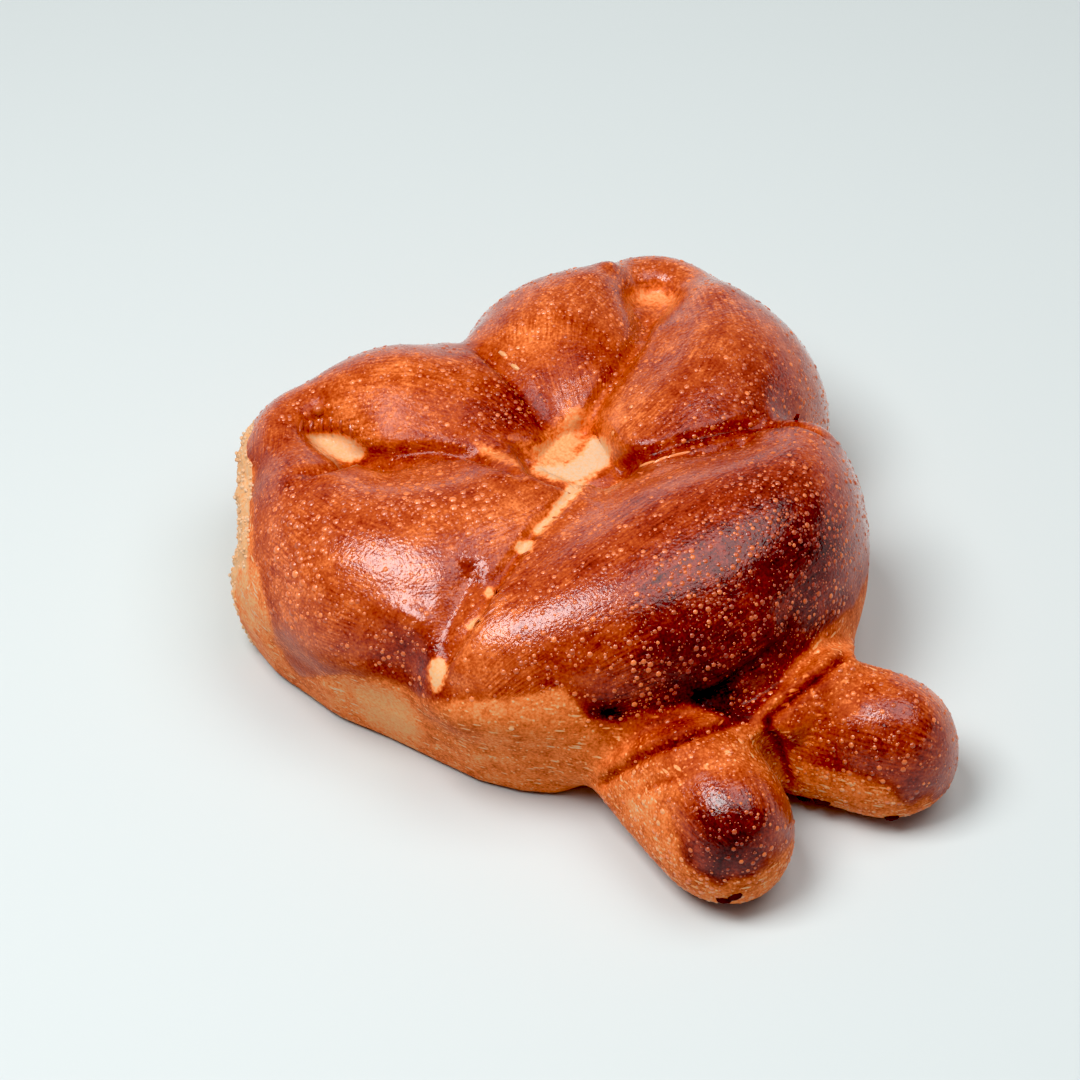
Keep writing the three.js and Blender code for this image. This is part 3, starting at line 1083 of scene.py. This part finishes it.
def crust_material():
    finish = Finish(bpy.data.materials.new("egg_washed_crust"))
    plus, times, kept, math = finish.plus, finish.times, finish.kept, finish.math
    fine = finish.grain(FINE_GRAIN, 4.0)
    mottle = finish.grain(MOTTLE, 4.0)
    streaks = finish.streaks(*STREAK)
    flecks = finish.spots(finish.place(), 1 / FLECK, *FLECK_RIM)
    glaze = finish.between(plus(kept("wash"), mottle, GLAZE_FRAYED), *GLAZE_EDGE)
    bare = finish.rest(glaze)
    fray = math("ADD", finish.grain(FRAY, 3.0), streaks)
    crumb = finish.between(plus(kept("pale"), fray, CRUMB_FRAYED), *CRUMB_EDGE)

    brown = plus(plus(kept("brown"), mottle, MOTTLED), fine, GRAINED)
    brown = math("SUBTRACT", brown, MEAN_GRAIN)
    brown = plus(brown, streaks, plus(STREAKED[0], glaze, STREAKED[1]))
    dashes = finish.spots(finish.scaled(finish.place(), DASH[0], *DASH), 1.0, *DASH_RIM)
    dashes = times(times(dashes, finish.between(mottle, *DASHED_MOTTLE)), bare)
    brown = plus(brown, dashes, -DASHES_PALER)
    brown = plus(brown, flecks, plus(-FLECKS_PALER[0], bare, -FLECKS_PALER[1]))
    dough = plus(kept("pale_brown"), streaks, DOUGH_STREAKED)
    dough = plus(dough, math("SUBTRACT", fine, DOUGH_MEAN_GRAIN), DOUGH_GRAINED)
    lost = times(math("SUBTRACT", brown, dough), crumb)

    rough = plus(BARE_ROUGHNESS, glaze, -GLAZE_SMOOTHER)
    wet = times(glaze, plus(1.0, crumb, -CRUMB_DRIER))
    peel = plus(finish.grain(PEEL), flecks, FLECKS_RAISED)
    peel = plus(peel, finish.streaks(*PEEL_STREAK), STREAKS_RAISED)
    peel = plus(peel, times(finish.streaks(*WRINKLE), kept("wrinkled")), WRINKLES_RAISED)
    bumps = finish.node("Bump", Strength=1.0, Distance=PEEL_DEPTH, Height=peel).outputs["Normal"]
    finish.shade(
        Base_Color=finish.browning(math("SUBTRACT", brown, lost)),
        Roughness=math("MAXIMUM", rough, times(crumb, CRUMB_ROUGHNESS)),
        Coat_Weight=times(wet, kept("gloss")), Coat_Roughness=COAT_ROUGHNESS, Coat_IOR=COAT_IOR,
        Specular_IOR_Level=0.12, Sheen_Weight=0.06, Sheen_Roughness=0.15, Normal=bumps, Coat_Normal=bumps,
    )
    return finish.owner


crust.data.materials.append(crust_material())
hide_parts("bun")
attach(crust, "root")
print("crust finished with", crust.data.materials[0].name)

# %% [markdown]
# ## Blisters
#
# Small gas bubbles lift the skin under the wash into thousands of round blisters. They are too small for
# the skin's own squares, so one low dome is copied into one joined mesh, each copy with its own size and
# browning.

# %% Raise the blisters
BLISTERS = 11600
SMALLEST_BLISTER = 0.13 * MM
LARGEST_BLISTER = 0.58 * MM
MOSTLY_SMALL = 3.5
BLISTER_SEED = 11
BLISTER_HEIGHT = (0.25, 0.42)
PALER_THAN_CRUST = (0.04, 0.20)
PALER_ON_DARK = (0.08, 0.26)
DARK_CRUST = (0.42, 0.75)
CELL_SIZE = 2.2 * LARGEST_BLISTER
TOUCHING = 0.9
# How much, size and seed of the clusters of blisters.
CLUSTERS = (1, 15 * MM, 9.0)
CLUSTER_EDGE = (-0.2, 0.4)
CROWD_EDGE = 4 * MM
UPPER_SIDE = (-0.1, 0.3)
HOT = (0.5, 0.75)
SCORCHED = (0.9, 0.78)
ON_BARE_CRUST = 0.12
OUTSIDE_CLUSTERS = 0.3
IN_CLUSTERS = 0.8
IN_CROWD = 0.8
ON_FEET = 0.8
BLISTERED = [
    (265, 480), (330, 492), (440, 470), (520, 492), (470, 545), (360, 520), (332, 560), (335, 625),
    (290, 640), (262, 560),
]
CROWDED_LARGER = 1.4
DOME_SIDES = 6
BIT_GRAIN = 0.5 * MM
BIT_GRAINED = 0.08


def dome_template():
    """The upper half of a coarse ball of radius 1, as points and faces."""
    bpy.ops.mesh.primitive_uv_sphere_add(segments=DOME_SIDES, ring_count=4, radius=1, location=(0, 0, 0))
    dome = bpy.context.object
    bpy.ops.object.mode_set(mode="EDIT")
    bpy.ops.mesh.select_all(action="SELECT")
    bpy.ops.mesh.bisect(plane_co=(0, 0, 0), plane_no=(0, 0, 1), clear_inner=True)
    bpy.ops.object.mode_set(mode="OBJECT")
    shape = points_of(dome)
    # The bisect leaves the faces in a new order each time, so they are sorted.
    faces = sorted(list(face.vertices) for face in dome.data.polygons)
    bpy.data.objects.remove(dome)
    return shape, faces


def on_skin(number, weight, random):
    """Random places on the crust, more where the weight is large, with their normals and browning."""
    corners = rows_of(crust.data.polygons, "vertices", 4, np.int32)
    area = rows_of(crust.data.polygons, "area", 1)[:, 0]
    chance = area * weight[corners].mean(axis=1)
    picked = corners[random.choice(len(corners), number, p=chance / chance.sum())]
    u, v = random.random((2, number))
    shares = np.stack([(1 - u) * (1 - v), u * (1 - v), u * v, (1 - u) * v], axis=1)
    places = (points[picked] * shares[:, :, None]).sum(axis=1)
    outward = unit((normals[picked] * shares[:, :, None]).sum(axis=1))
    return places, outward, (brown[picked] * shares).sum(axis=1)


def apart(places, radii):
    """Which of the places to keep so that no two bubbles touch: the larger ones first."""
    kept = []
    filled = {}
    for index in np.argsort(-radii):
        home = tuple(np.floor(places[index] / CELL_SIZE).astype(int))
        near = [
            other
            for i in NEXT_TO for j in NEXT_TO for k in NEXT_TO
            for other in filled.get((home[0] + i, home[1] + j, home[2] + k), [])
        ]
        gaps = lengths(places[near] - places[index])
        if np.all(gaps > TOUCHING * (radii[near] + radii[index])):
            kept.append(index)
            filled.setdefault(home, []).append(index)
    return np.array(kept)


def joined_domes(name, places, normals, along, sizes, browning, material):
    """One piece of many domes, each along its direction, with its normal up and a browning of its own."""
    along = unit(along - (along * normals).sum(axis=1, keepdims=True) * normals)
    axes = np.stack([along, np.cross(normals, along), normals], axis=1)
    copies = places[:, None] + dome_points @ (np.stack(sizes, axis=1)[:, :, None] * axes)
    each = len(dome_points)
    faces = [[v + i * each for v in face] for i in range(len(places)) for face in dome_faces]
    mesh = bpy.data.meshes.new(name)
    mesh.from_pydata(copies.reshape(-1, 3).tolist(), [], faces)
    mesh.shade_smooth()
    piece = bpy.data.objects.new(name, mesh)
    bpy.context.scene.collection.objects.link(piece)
    keep_with(piece, "brown", np.repeat(browning, each))
    piece.data.materials.append(material)
    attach(piece, "root")


def bit_material(name, roughness, coat):
    finish = Finish(bpy.data.materials.new(name))
    brown = finish.plus(finish.kept("brown"), finish.grain(BIT_GRAIN), BIT_GRAINED)
    finish.shade(
        Base_Color=finish.browning(brown), Roughness=roughness, Coat_Weight=coat,
        Coat_Roughness=COAT_ROUGHNESS, Coat_IOR=COAT_IOR,
    )
    return finish.owner


random = np.random.default_rng(BLISTER_SEED)
browned = 1 - ramp(pale, -1.0, 0.0)
upper_side = ramp(normals[:, 2], *UPPER_SIDE)
brushed = ON_BARE_CRUST + (1 - ON_BARE_CRUST) * washed
clusters = IN_CLUSTERS * ramp(lumps(points, *CLUSTERS), *CLUSTER_EDGE)
crowded = IN_CROWD * ramp(inside(x, y, BLISTERED), 0, CROWD_EDGE) * shown
dense = brushed * upper_side * (OUTSIDE_CLUSTERS + ramp(brown, *HOT) + clusters) + crowded
dense = np.where(on_feet, ON_FEET, dense) * browned * (1 - sole) * ramp(brown, *SCORCHED)
places, outward, host_brown = on_skin(BLISTERS, dense, random)
radii = SMALLEST_BLISTER + (LARGEST_BLISTER - SMALLEST_BLISTER) * random.random(BLISTERS) ** MOSTLY_SMALL
radii *= np.where(inside(*in_picture(places), BLISTERED) > 0, CROWDED_LARGER, 1.0)
turned = random.normal(size=(BLISTERS, 3))
heights = radii * random.uniform(*BLISTER_HEIGHT, BLISTERS)
paler = host_brown - random.uniform(*PALER_THAN_CRUST, BLISTERS)
paler -= random.uniform(*PALER_ON_DARK, BLISTERS) * ramp(host_brown, *DARK_CRUST)
kept = apart(places, radii)
dome_points, dome_faces = dome_template()
glossy = bit_material("blistered_wash", roughness=0.35, coat=0.6)
sizes = (radii[kept], radii[kept], heights[kept])
joined_domes("blisters", places[kept], outward[kept], turned[kept], sizes, paler[kept], glossy)
print(len(kept), "blisters of", len(dome_faces), "faces each")

# %% [markdown]
# ## Shreds and crumbs
#
# Where the strands pulled apart, thin shreds and pleats of crust are left across the gap. Flakes lie along
# a furrow, and dark bits of burnt sugar stick out under the feet. Two of them, under the right foot, are
# also painted contact shadow. The torn flank shows crumb. All of it is thinner than the skin's squares, so
# each shred is one dome drawn out between two traced pixels.

# %% Add shreds, flakes and crumbs
# Both ends, half width and height in mm, and browning.
SHREDS = [
    ((303, 419), (300, 432), 0.40, 0.4, 0.46), ((312, 420), (310, 431), 0.40, 0.5, 0.50),
    ((322, 419), (321, 431), 0.45, 0.5, 0.44), ((331, 420), (331, 432), 0.40, 0.4, 0.50),
    ((341, 421), (342, 433), 0.45, 0.5, 0.46), ((350, 425), (353, 437), 0.40, 0.4, 0.46),
    ((314, 410), (323, 410), 1.40, 1.6, 0.38), ((640, 468), (655, 462), 0.30, 0.4, 0.20),
    ((654, 463), (668, 457), 0.30, 0.4, 0.22), ((667, 458), (690, 452), 0.30, 0.4, 0.24),
    ((793, 406), (797, 422), 0.60, 0.5, 0.26), ((500, 352), (506, 356), 0.50, 0.3, 0.14),
    ((512, 365), (518, 369), 0.50, 0.3, 0.12), ((556, 506), (566, 509), 0.22, 0.3, 0.32),
    ((549, 513), (558, 518), 0.25, 0.3, 0.36), ((538, 524), (551, 526), 0.22, 0.3, 0.30),
    ((527, 535), (541, 538), 0.45, 0.4, 0.50), ((564, 496), (574, 501), 0.20, 0.3, 0.26),
    ((516, 556), (530, 553), 0.35, 0.4, 0.42), ((486, 596), (500, 592), 0.40, 0.4, 0.40),
    ((466, 624), (482, 622), 0.40, 0.4, 0.44),
]
# Dark bits under the feet are burnt sugar. The last two, under the right foot's left side, are also painted
# contact shadow.
BURNT_AND_SHADOW_BITS = [
    ((717, 899), (731, 900)), ((729, 898), (741, 894)), ((885, 817), (898, 816)), ((798, 796), (811, 799)),
    ((813, 799), (830, 803)),
]
BURNT_AND_SHADOW_SHAPE = (0.8, 0.8, 0.82)
END_OVERLAP = 0.4 * MM
CRUMBS = 700
CRUMB_RADIUS = (0.15 * MM, 0.6 * MM)
CRUMB_WIDTH = 0.7
CRUMB_HEIGHT = 0.9
CRUMB_BROWN = (-0.04, 0.08)


def columns(rows):
    return [np.array(column) for column in zip(*rows)]


def strips(name, items, material):
    """Domes drawn out between pairs of pixels: ends, half width, height and browning."""
    rows = [(seen_at(*start, tree), seen_at(*end, tree), *rest) for start, end, *rest in items]
    rows = [row for row in rows if None not in row]
    starts, stops, widths, heights, browning = columns(rows)
    places, outward = columns(tree.find_nearest(Vector(place))[:2] for place in (starts + stops) / 2)
    sizes = (lengths(stops - starts) / 2 + END_OVERLAP, widths * MM, heights * MM)
    joined_domes(name, places, outward, stops - starts, sizes, browning, material)
    return len(rows)


dry = bit_material("crumb", roughness=0.8, coat=0.0)
shreds = strips("shreds", SHREDS, glossy)
burnt = strips("burnt_and_shadow_bits", [(start, end, *BURNT_AND_SHADOW_SHAPE) for start, end in BURNT_AND_SHADOW_BITS], dry)
places, outward, _ = on_skin(CRUMBS, torn, random)
radii = random.uniform(*CRUMB_RADIUS, CRUMBS)
turned = random.normal(size=(CRUMBS, 3))
sizes = (radii, CRUMB_WIDTH * radii, CRUMB_HEIGHT * radii)
joined_domes("crumbs", places, outward, turned, sizes, random.uniform(*CRUMB_BROWN, CRUMBS), dry)
print(shreds, "shreds,", burnt, "burnt bits and", CRUMBS, "crumbs")
